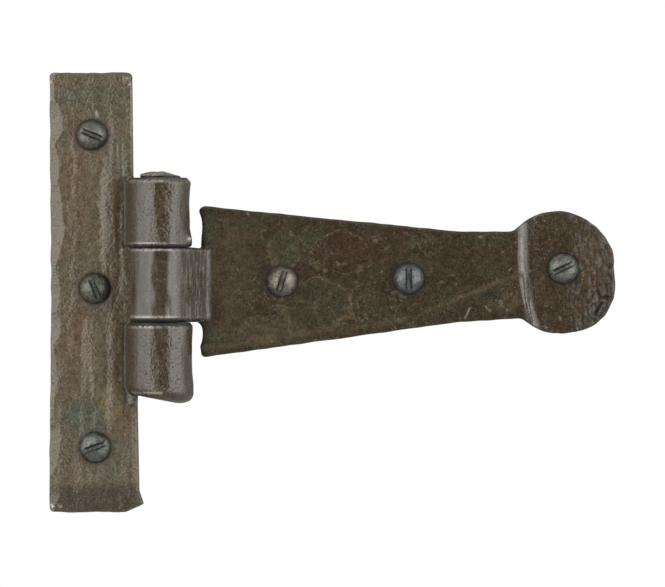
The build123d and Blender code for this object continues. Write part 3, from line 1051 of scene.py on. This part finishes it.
def stained(w, place, colour, stains, iron):
    """Lays a list of ragged stains over a colour, with a pale outline round the crisp ones."""
    for tint, middle_x, middle_z, reach_x, reach_z, share, soft in stains:
        patch = w.group(
            "Ragged patch",
            Vector=place,
            Centre=(middle_x * MM, 0, middle_z * MM),
            Reach=(reach_x * MM, STAIN_DEPTH * MM, reach_z * MM),
            Ragged=0.6,
            Softness=soft,
        )
        colour = w.lay(colour, getattr(iron, tint), patch.outputs["Mask"], share)
        if soft < CRISP:
            broken = w.span(w.noise(place, 300.0), 0.25, 0.5)
            colour = w.lay(colour, iron.plate, patch.outputs["Rim"], broken, 0.85)
    return colour


def flecked(w, colour, speckle, low, high):
    """Darkens and lightens a colour by its speckle."""
    level = w.span(speckle, 0.36, 0.64, low, high)
    grey = w.node("ShaderNodeCombineColor", Red=level, Green=level, Blue=level)
    return w.mix(1.0, colour, grey.outputs[0], "MULTIPLY")


def worn_sooty_and_shaded(w, place, colour, iron, shine):
    """Adds bright rubbed edges, wear and painted highlights on the stored rims, and sooty darkening with
    painted shade, and gives the colour, the bright metal and the darkening.
    """
    edge = w.stored("edge")
    wear = w.group("Rubbed edges", Vector=place, Edge=edge, Start=0.03, End=0.11, Patchy=0.75)
    nicked = w.span(w.noise(place, 500.0, 3.0, 0.7), 0.36, 0.5)
    # Rubbed rims with painted highlights, as stored
    rim = w.product(w.stored("rim"), nicked, 0.95)
    bare_and_highlit = w.math("MAXIMUM", w.product(wear.outputs["Wear"], shine), rim)
    colour = w.lay(colour, iron.worn, bare_and_highlit)
    broken = w.span(w.noise(place, 900.0, 2.0, 0.6), 0.35, 0.55, 0.55, 1.0)
    # Soot and painted shade as stored, and darker creases
    soot_and_shade = w.math("MAXIMUM", w.stored("grime_and_shade"), w.product(wear.outputs["Crease"], 0.7))
    dirt_and_shade = w.product(soot_and_shade, broken)
    return w.lay(colour, iron.grime_and_shade, dirt_and_shade), bare_and_highlit, dirt_and_shade


def plate_material(iron):
    """Waxed grey-brown iron with green-grey, rusty and tan stains, smoother on the knuckles."""
    material, w, shader = start_material("plate_iron")
    place = w.place()
    rolled = w.stored("rolled")
    grain = w.group("Iron grain", Vector=place, Size=0.0008, Pitting=0.75)
    rusty = w.group("Cloudy stain", Vector=place, Size=(0.004, 0.02, 0.018), Cover=0.55, Softness=0.2)
    size = (0.007, 0.02, 0.012)
    green = w.group("Cloudy stain", Vector=place, Size=size, Cover=0.45, Softness=0.25, Shift=7.0)
    colour = w.lay(iron.plate, iron.amber, rusty.outputs["Mask"], 0.45)
    colour = w.lay(colour, iron.verdigris, green.outputs["Mask"], 0.6)
    colour = stained(w, place, colour, PLATE_STAINS, iron)
    colour = w.lay(colour, iron.rolled, rolled, 0.85)
    colour = flecked(w, colour, grain.outputs["Speckle"], 0.68, 1.34)
    pitted = w.span(rolled, 0.0, 1.0, 0.6, 0.15)
    colour = w.lay(colour, iron.grime_and_shade, grain.outputs["Pits"], pitted)
    colour, bare_and_highlit, dirt_and_shade = worn_sooty_and_shaded(w, place, colour, iron, 0.4)
    w.feed(shader.inputs["Base Color"], colour)
    shader.inputs["Specular IOR Level"].default_value = 0.65
    rough = w.span(grain.outputs["Speckle"], 0.3, 0.7, 0.22, 0.36)
    rough = w.math("SUBTRACT", rough, w.product(rolled, 0.05))
    w.feed(shader.inputs["Roughness"], w.math("ADD", rough, w.product(dirt_and_shade, 0.35)))
    w.feed(shader.inputs["Metallic"], w.product(bare_and_highlit, 0.7))
    lumps = w.noise(place, 420.0, 2.0, 0.5)
    relief = w.math("ADD", grain.outputs["Height"], w.product(lumps, 0.7))
    smoother = w.span(rolled, 0.0, 1.0, 1.0, 0.85)
    add_bump(w, shader, w.product(relief, smoother), 0.00026)
    return material


def strap_mottling(w, place, iron):
    """The strap's brown under its mottled olive and red-brown, its stains and its tide marks."""
    size = (0.016, 0.03, 0.012)
    olive = w.group("Cloudy stain", Vector=place, Size=size, Cover=0.5, Softness=0.05)
    size = (0.01, 0.03, 0.008)
    rusty = w.group("Cloudy stain", Vector=place, Size=size, Cover=0.45, Softness=0.07, Shift=5.0)
    size = (0.004, 0.03, 0.005)
    dark = w.group("Cloudy stain", Vector=place, Size=size, Cover=0.35, Softness=0.15, Shift=9.0)
    colour = w.lay(iron.strap, iron.olive, olive.outputs["Mask"], 0.6)
    colour = w.lay(colour, iron.rust, rusty.outputs["Mask"], 0.5)
    colour = stained(w, place, colour, STRAP_STAINS, iron)
    colour = w.lay(colour, iron.grime_and_shade, dark.outputs["Mask"], 0.3)
    tides = w.math("MAXIMUM", olive.outputs["Rim"], rusty.outputs["Rim"])
    broken = w.span(w.noise(place, 260.0, 3.0, 0.6), 0.5, 0.66)
    return w.lay(colour, iron.worn, tides, broken, 0.18)


def scuffed(w, place, colour, iron):
    """Sprinkles pale dots over a colour, and clusters of scratches that lean two ways."""
    dots = w.node("ShaderNodeTexVoronoi", Vector=place, Scale=700.0).outputs["Distance"]
    sprinkled = w.span(dots, 0.12, 0.22, 1.0, 0.0)
    sprinkled_here = w.span(w.noise(place, 110.0, 2.0), 0.52, 0.6)
    colour = w.lay(colour, iron.worn, sprinkled, sprinkled_here, 0.3)
    clusters = w.span(w.noise(place, 60.0, 1.0), 0.5, 0.62)
    size = (0.0005, 0.01, 0.003)
    for turn, shift in ((0.5, 0.0), (-0.6, 3.0)):
        marks = w.group("Scratches", Vector=place, Turn=(0, turn, 0), Size=size, Cover=0.3, Shift=shift)
        colour = w.lay(colour, iron.worn, marks.outputs["Mask"], clusters, 0.4)
    return colour


def brushed_tail(w, place, rolled):
    """Long bright streaks on the strap's tail, between its knuckle and its shoulder."""
    along = w.node("ShaderNodeSeparateXYZ", Vector=place).outputs["X"]
    starts = w.span(along, *[place_x * MM for place_x in TAIL_START])
    ends = w.span(along, *[place_x * MM for place_x in TAIL_END])
    size = (0.0005, 0.0005, 0.009)
    streaks = w.group("Cloudy stain", Vector=place, Size=size, Cover=0.5, Softness=0.12)
    return w.product(streaks.outputs["Mask"], w.product(rolled, w.product(starts, ends)))


def strap_material(iron):
    """Dark waxed iron, mottled and scuffed, with smoother knuckle and step, and a brushed tail."""
    material, w, shader = start_material("strap_iron")
    place = w.place()
    rolled = w.stored("rolled")
    grain = w.group("Iron grain", Vector=place, Size=0.0006, Pitting=0.6)
    colour = strap_mottling(w, place, iron)
    # A painted highlight in the plate's paler colour along the ridges, broken up by noise
    rubbed = w.span(w.noise(place, 200.0, 3.0, 0.6), 0.35, 0.6, 0.3, 0.8)
    colour = w.lay(colour, iron.plate, w.stored("ridge"), rubbed)
    colour = w.lay(colour, iron.rolled, rolled, 0.9)
    colour = flecked(w, colour, grain.outputs["Speckle"], 0.6, 1.5)
    colour = w.lay(colour, iron.grime_and_shade, grain.outputs["Pits"], 0.55)
    colour = scuffed(w, place, colour, iron)
    brushed = brushed_tail(w, place, rolled)
    specked = w.span(grain.outputs["Speckle"], 0.38, 0.6, 0.3, 0.95)
    colour = w.lay(colour, iron.worn, brushed, specked)
    colour, bare_and_highlit, dirt_and_shade = worn_sooty_and_shaded(w, place, colour, iron, 0.12)
    w.feed(shader.inputs["Base Color"], colour)
    shader.inputs["Specular IOR Level"].default_value = 0.33
    shader.inputs["Coat Roughness"].default_value = 0.2
    w.feed(shader.inputs["Coat Weight"], w.product(rolled, 0.85))
    rough = w.span(grain.outputs["Speckle"], 0.3, 0.7, 0.2, 0.34)
    w.feed(shader.inputs["Roughness"], w.math("ADD", rough, w.product(dirt_and_shade, 0.35)))
    w.feed(shader.inputs["Metallic"], w.product(bare_and_highlit, 0.7))
    add_bump(w, shader, w.math("ADD", grain.outputs["Height"], brushed), 0.00022)
    return material


def pin_material(iron):
    """Hammered grey-olive iron of the pin's head."""
    material, w, shader = start_material("pin_iron")
    place = w.place()
    grain = w.group("Iron grain", Vector=place, Size=0.0007, Pitting=0.6)
    green = w.group("Cloudy stain", Vector=place, Size=(0.004, 0.004, 0.004), Cover=0.5, Softness=0.2)
    colour = w.lay(iron.pin, iron.verdigris, green.outputs["Mask"], 0.45)
    colour = flecked(w, colour, grain.outputs["Speckle"], 0.6, 1.5)
    colour = w.lay(colour, iron.grime_and_shade, grain.outputs["Pits"], 0.7)
    edge = w.stored("edge")
    wear = w.group("Rubbed edges", Vector=place, Edge=edge, Start=0.03, End=0.12, Patchy=0.5)
    colour = w.lay(colour, iron.worn, wear.outputs["Wear"], 0.5)
    colour = w.lay(colour, iron.grime_and_shade, w.stored("grime_and_shade"))
    w.feed(shader.inputs["Base Color"], colour)
    w.feed(shader.inputs["Roughness"], w.span(grain.outputs["Speckle"], 0.3, 0.7, 0.35, 0.55))
    add_bump(w, shader, grain.outputs["Height"], 0.00015)
    return material


def screw_material(name, tint, iron):
    """Dull steel with bright rubbed edges, painted shade at its rim, and painted shade on the sooty walls
    of its slot.
    """
    material, w, shader = start_material(name)
    place = w.place()
    grain = w.group("Iron grain", Vector=place, Size=0.0006, Pitting=0.3)
    cloudy = w.group("Cloudy stain", Vector=place, Size=(0.002, 0.002, 0.002), Cover=0.5, Softness=0.3)
    dark = tuple(channel * 0.5 for channel in tint)
    colour = w.lay(tuple(tint), dark, cloudy.outputs["Mask"], 0.4)
    colour = flecked(w, colour, grain.outputs["Speckle"], 0.6, 1.5)
    edge = w.stored("edge")
    wear = w.group("Rubbed edges", Vector=place, Edge=edge, Start=0.05, End=0.2, Patchy=0.7)
    colour = w.lay(colour, iron.worn, wear.outputs["Wear"], 0.6)
    soot_and_shade = w.math("MAXIMUM", w.stored("grime_and_shade"), w.product(wear.outputs["Crease"], 0.9))
    colour = w.lay(colour, iron.grime_and_shade, soot_and_shade)
    w.feed(shader.inputs["Base Color"], colour)
    shader.inputs["Metallic"].default_value = 0.75
    w.feed(shader.inputs["Roughness"], w.span(grain.outputs["Speckle"], 0.3, 0.7, 0.32, 0.5))
    add_bump(w, shader, grain.outputs["Height"], 0.00016)
    return material


def build_groups():
    """Makes each node group once."""
    if "Iron grain" in bpy.data.node_groups:
        return
    build_grain_group()
    build_cloud_group()
    build_patch_group()
    build_scratch_group()
    build_wear_group()


def groove_grime_and_shade(x, z):
    """Crumbly, sooty darkening with painted shade in the two gaps between the knuckles."""
    crumbs = 0.55 * waves(x, z, 0.8, 0.8, 24.0)
    return np.maximum(between(z + crumbs, UPPER_SOOT_AND_SHADE, 0.25), between(z + crumbs, LOWER_SOOT_AND_SHADE, 0.25))


def shaded_bar_sides(piece, rolled):
    """Painted shade on the sides of a bar, away from its rolled parts."""
    return 0.6 * (1 - rolled) * (1 - ramp(np.abs(read_normals(piece)[:, 1]), 0.3, 0.75))


def head_shadow_rings(x, y, z, prefix, width):
    """Painted shadow on a leaf's front, round its screws' heads."""
    from_rim = np.clip(screw_distance(x, z, prefix) - HEAD_RADIUS, -1, None)
    return 0.8 * bell(from_rim, width) * (y < -1)


def plate_rubs_and_highlights(points, rolled):
    """Where the plate is rubbed bright and painted with highlights: the rims of its knuckles, and its
    nicks.
    """
    x, y, z = points.T
    rims = sum(bell(z - rim, 0.35) for rim in PLATE_RIMS) + bell(z - LOWER_RIM, 0.35) * (x < 23)
    rims = rims * rolled * (y < -8) * (1 - 0.75 * ramp(x, 23.0, 28.0))
    # On the plate some nicks are painted highlights
    nicks = sum(bell(line_distance(x, z, line), 0.4) for line in PLATE_NICKS_AND_HIGHLIGHTS) * (y < -1)
    return np.maximum(rims, nicks)


def plate_soot_and_shade(points, rolled):
    """Soot and painted shade on the plate: sooty darkening with painted shade between its knuckles,
    painted shade beside them, painted shadow round and under the heads, and sooty spots.
    """
    x, y, z = points.T
    gaps = groove_grime_and_shade(x, z) * rolled
    rings = head_shadow_rings(x, y, z, "plate", 0.7)
    from_head = np.clip(np.hypot(x - PIN_X, y - PIN_Y) - PEENED_RADIUS, 0, None)
    # Painted shadow on the knuckle under the pin's peened head
    under_head = ramp(z, UPPER_EYE[1] - 0.6, UPPER_EYE[1] - 0.2) * rolled * bell(from_head, 0.9)
    # Painted shade in the crease beside the knuckles
    crease = 0.6 * bell(x - SHADED_CREASE_X, 1.1) * in_eyes(z) * (y < -2)
    spots = sum(share * bell(np.hypot(x - at, z - up), reach) for at, up, reach, share in PLATE_SPOTS)
    return np.max([gaps, rings, under_head, crease, spots * (y < -1)], axis=0)


def strap_rubs_and_highlights(points, rolled, lit_step_face):
    """Where the strap is rubbed bright and painted with highlights: its knuckle's rims, its tail's end,
    its nicks and its step.
    """
    x, y, z = points.T
    rims = sum(bell(z - rim, 0.35) for rim in STRAP_RIMS) * (y < -8)
    rims = rims * rolled * (1 - 0.75 * ramp(x, 24.0, 29.0))
    # A painted highlight along the tail's end
    lip = bell(x - TAIL_LIP_HIGHLIGHT, 0.5) * between(z, TAIL_SPAN) * (y < -3)
    nicks = sum(0.65 * bell(line_distance(x, z, line), 0.24) for line in STRAP_NICKS) * (y < -1)
    return np.max([rims, lip, nicks, 0.22 * lit_step_face], axis=0)


def strap_soot_and_shade(points):
    """Soot and painted shade on the strap: sooty darkening with painted shade beside its knuckle, painted
    shadow round the heads, and sooty cracks.
    """
    x, y, z = points.T
    gaps = groove_grime_and_shade(x, z) * (x < SHOULDER_X)
    rings = head_shadow_rings(x, y, z, "strap", 0.6)
    penny_cracks = [bell(line_distance(x, z, line), 0.5) for line, depth in PENNY_CRACKS]
    long_crack = 0.6 * bell(line_distance(x, z, STRAP_CRACK), 0.45) * (y < -1)
    return np.max([gaps, rings, long_crack, *penny_cracks], axis=0)


def dress(piece, body, node, material):
    """Gives a piece its body and its finish, and hides the node that it stands for."""
    piece.data.materials.clear()
    piece.data.materials.append(material)
    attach(piece, body)
    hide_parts(node)


class HINGE_OT_plate(Operator):
    """Forges the frame plate with its two knuckles."""

    bl_idname = "hinge.plate"
    bl_label = "Forge the plate"

    def execute(self, context):
        settings = context.scene.hinge
        build_groups()
        plate = new_piece(cad_copy("plate"), "plate_forged")
        even_skin(plate, settings.forging.skin, true_up=True)
        points = read_points(plate)
        rolled = forge_plate(points, settings.forging)
        write_points(plate, points)
        mark_edges(plate, settings.forging.skin)
        foot = ramp(points[:, 2], FOOT_START - 0.5, FOOT_START - 2.5)
        store(plate, "rim", plate_rubs_and_highlights(points, rolled))
        store(plate, "rolled", np.maximum(rolled, 0.9 * foot))
        # Soot, painted shade and painted shadow, for the material
        store(plate, "grime_and_shade", np.maximum(plate_soot_and_shade(points, rolled), shaded_bar_sides(plate, rolled)))
        dress(plate, "frame_leaf", "plate", plate_material(settings.iron))
        return {"FINISHED"}


class HINGE_OT_strap(Operator):
    """Forges the door strap with its knuckle and its penny."""

    bl_idname = "hinge.strap"
    bl_label = "Forge the strap"

    def execute(self, context):
        settings = context.scene.hinge
        build_groups()
        strap = new_piece(cad_copy("strap"), "strap_forged")
        even_skin(strap, settings.forging.skin, true_up=True)
        points = read_points(strap)
        rolled, ridges = forge_strap(points, read_normals(strap), settings.forging)
        write_points(strap, points)
        mark_edges(strap, settings.forging.skin)
        x, y, z = points.T
        # The step's face, which gets a painted highlight and the knuckles' smoother brown
        lit_step_face = bell(x - worn_step_line(z) - WORN_STEP / 2, WORN_STEP / 2) * (y < -2)
        # A painted highlight along the ridges, for the material
        store(strap, "ridge", ridges * (y < -1))
        store(strap, "rim", strap_rubs_and_highlights(points, rolled, lit_step_face))
        store(strap, "rolled", np.maximum(0.78 * rolled, 0.95 * lit_step_face))
        # Soot, painted shade and painted shadow, for the material
        store(strap, "grime_and_shade", np.maximum(strap_soot_and_shade(points), shaded_bar_sides(strap, rolled)))
        dress(strap, "door_leaf", "strap", strap_material(settings.iron))
        return {"FINISHED"}


class HINGE_OT_pin(Operator):
    """Peens the pin."""

    bl_idname = "hinge.pin"
    bl_label = "Peen the pin"

    def execute(self, context):
        settings = context.scene.hinge
        build_groups()
        pin = new_piece(cad_copy("pin"), "pin_peened")
        even_skin(pin, settings.forging.pin_skin)
        points = read_points(pin)
        forge_pin(points)
        write_points(pin, points)
        mark_edges(pin, settings.forging.pin_skin)
        x, y, z = points.T
        # A painted shadow on the pin below its peened head
        shadow_line = UPPER_EYE[1] + 0.35 * waves(x, y, 1.3, 1.3, 6.0)
        store(pin, "grime_and_shade", 1 - ramp(z, shadow_line + 0.5, shadow_line + 0.9))
        dress(pin, "frame_leaf", "pin", pin_material(settings.iron))
        return {"FINISHED"}


class HINGE_OT_screws(Operator):
    """Turns, slots and wears the six wood screws."""

    bl_idname = "hinge.screws"
    bl_label = "Make the screws"

    def execute(self, context):
        settings = context.scene.hinge
        build_groups()
        finishes = {
            tint: screw_material(f"screw_steel_{tint}", getattr(settings.screws, tint), settings.iron)
            for tint in ("gunmetal", "pewter", "warm", "blued")
        }
        for seed, (name, facts) in enumerate(SCREWS.items()):
            screw = make_screw(name, facts["slot"], 3.0 + 10 * seed, settings.screws)
            dress(screw, facts["body"], name, finishes[facts["tint"]])
        return {"FINISHED"}


def light_panel(name, side, start, reach, brightness, studio):
    """One tall soft box that isn't seen itself, on the left for side -1 or on the right for side 1."""
    middle = (start + reach) / 2
    half = (reach - start) / 2
    lamp = bpy.data.lights.new(name, "AREA")
    lamp.shape = "RECTANGLE"
    lamp.size = 2 * LIGHT_DISTANCE * tan(half)
    lamp.size_y = LIGHT_HEIGHT
    lamp.energy = brightness * pi * lamp.size * lamp.size_y
    panel = bpy.data.objects.new(name, lamp)
    direction = Vector((side * sin(middle), -cos(middle), 0))
    panel.location = Vector(studio.aim) + LIGHT_DISTANCE * direction
    panel.rotation_euler = (-direction).to_track_quat("-Z", "Y").to_euler()
    panel.visible_camera = False
    bpy.context.scene.collection.objects.link(panel)


def build_world(ambient):
    """A white background, dark behind the camera in reflections, and a low even light."""
    world = bpy.data.worlds.new("studio")
    world.use_nodes = True
    bpy.context.scene.world = world
    w = Wiring(world.node_tree)
    background = world.node_tree.nodes["Background"]
    rays = w.node("ShaderNodeLightPath").outputs
    direction = w.node("ShaderNodeTexCoord").outputs["Generated"]
    depth = w.node("ShaderNodeSeparateXYZ", Vector=direction).outputs["Y"]
    round_camera = w.span(depth, -0.92, -0.75, 0.02, 1.0)
    behind_hinge = w.span(depth, 0.1, 0.7, 0.0, 0.7)
    sight = w.math("MAXIMUM", rays["Is Camera Ray"], rays["Is Transmission Ray"])
    glossy = w.product(rays["Is Glossy Ray"], w.math("SUBTRACT", round_camera, behind_hinge))
    seen = w.math("MAXIMUM", sight, glossy)
    unseen = w.math("SUBTRACT", 1.0, w.math("MAXIMUM", sight, rays["Is Glossy Ray"]))
    lighting = w.span(depth, -0.1, 0.5, ambient, BACK_LIGHT)
    w.feed(background.inputs["Color"], (1.0, 1.0, 1.0))
    w.feed(background.inputs["Strength"], w.math("ADD", seen, w.product(unseen, lighting)))


def build_floor(height):
    """A plain pale floor below the hinge, which keeps its shadow and fades to white far out."""
    middle = (FLOOR_MIDDLE_X, 0.0, height)
    bm = bmesh.new()
    place = Matrix.Translation(middle) @ Matrix.Diagonal((*FLOOR_SIZE, 1.0, 1.0))
    bmesh.ops.create_grid(bm, x_segments=1, y_segments=1, size=0.5, matrix=place)
    floor = new_piece(bm, "floor")
    material, w, shader = start_material("pale_floor")
    w.feed(shader.inputs["Base Color"], (0.8, 0.8, 0.8))
    w.feed(shader.inputs["Roughness"], 0.8)
    white = w.node("ShaderNodeEmission", Color=(1.0, 1.0, 1.0), Strength=1.0)
    fade = w.span(w.vector_math("DISTANCE", w.place(), middle), *FLOOR_FADE, 0.85, 1.0)
    seen = w.product(w.node("ShaderNodeLightPath").outputs["Is Camera Ray"], fade)
    blend = w.node("ShaderNodeMixShader", Fac=seen)
    w.feed(blend.inputs[1], shader.outputs[0])
    w.feed(blend.inputs[2], white.outputs[0])
    w.feed(material.node_tree.nodes["Material Output"].inputs["Surface"], blend.outputs[0])
    floor.data.materials.append(material)


class HINGE_OT_studio(Operator):
    """Sets up the floor, the lights and the camera."""

    bl_idname = "hinge.studio"
    bl_label = "Set up the studio"

    def execute(self, context):
        studio = context.scene.hinge.studio
        aim = Vector(studio.aim)
        build_floor(studio.floor_drop)
        build_world(studio.ambient)
        start = studio.dark_front
        right_start, right_end = RIGHT_KEY_START * start, RIGHT_KEY_END * studio.key_reach
        light_panel("left_light", -1, start, studio.side_reach, studio.side_light, studio)
        light_panel("right_light", 1, start, studio.side_reach, studio.side_light, studio)
        light_panel("left_key", -1, start, studio.key_reach, studio.left_key, studio)
        light_panel("right_key", 1, right_start, right_end, studio.right_key, studio)
        lens = bpy.data.cameras.new("camera")
        lens.sensor_width = 36.0
        lens.lens = lens.sensor_width * studio.camera_distance / studio.view_width
        lens.clip_end = 20.0
        camera = bpy.data.objects.new("camera", lens)
        camera.location = aim - Vector((0, studio.camera_distance, 0))
        camera.rotation_euler = (pi / 2, 0, 0)
        context.scene.collection.objects.link(camera)
        context.scene.camera = camera
        context.scene.view_settings.view_transform = "Standard"
        return {"FINISHED"}


class HINGE_PT_panel(Panel):
    """Lists the hinge's pieces and settings."""

    bl_label = "Forged tee hinge"
    bl_idname = "HINGE_PT_panel"
    bl_space_type = "VIEW_3D"
    bl_region_type = "UI"
    bl_category = "Hinge"

    def draw(self, context):
        for operator in OPERATORS:
            self.layout.operator(operator.bl_idname)
        for part in ("forging", "iron", "screws", "studio"):
            group = getattr(context.scene.hinge, part)
            box = self.layout.box()
            box.label(text=part.capitalize())
            for name in group.__annotations__:
                box.prop(group, name)


OPERATORS = (HINGE_OT_plate, HINGE_OT_strap, HINGE_OT_pin, HINGE_OT_screws, HINGE_OT_studio)
CLASSES = (
    ForgingSettings,
    IronSettings,
    ScrewSettings,
    StudioSettings,
    HingeSettings,
    *OPERATORS,
    HINGE_PT_panel,
)


def register():
    for cls in CLASSES:
        bpy.utils.register_class(cls)
    bpy.types.Scene.hinge = PointerProperty(type=HingeSettings)


def unregister():
    del bpy.types.Scene.hinge
    for cls in reversed(CLASSES):
        bpy.utils.unregister_class(cls)


def main():
    """Makes every piece and the studio."""
    register()
    bpy.ops.hinge.plate()
    bpy.ops.hinge.strap()
    bpy.ops.hinge.pin()
    bpy.ops.hinge.screws()
    bpy.ops.hinge.studio()


if __name__ == "__main__":
    main()
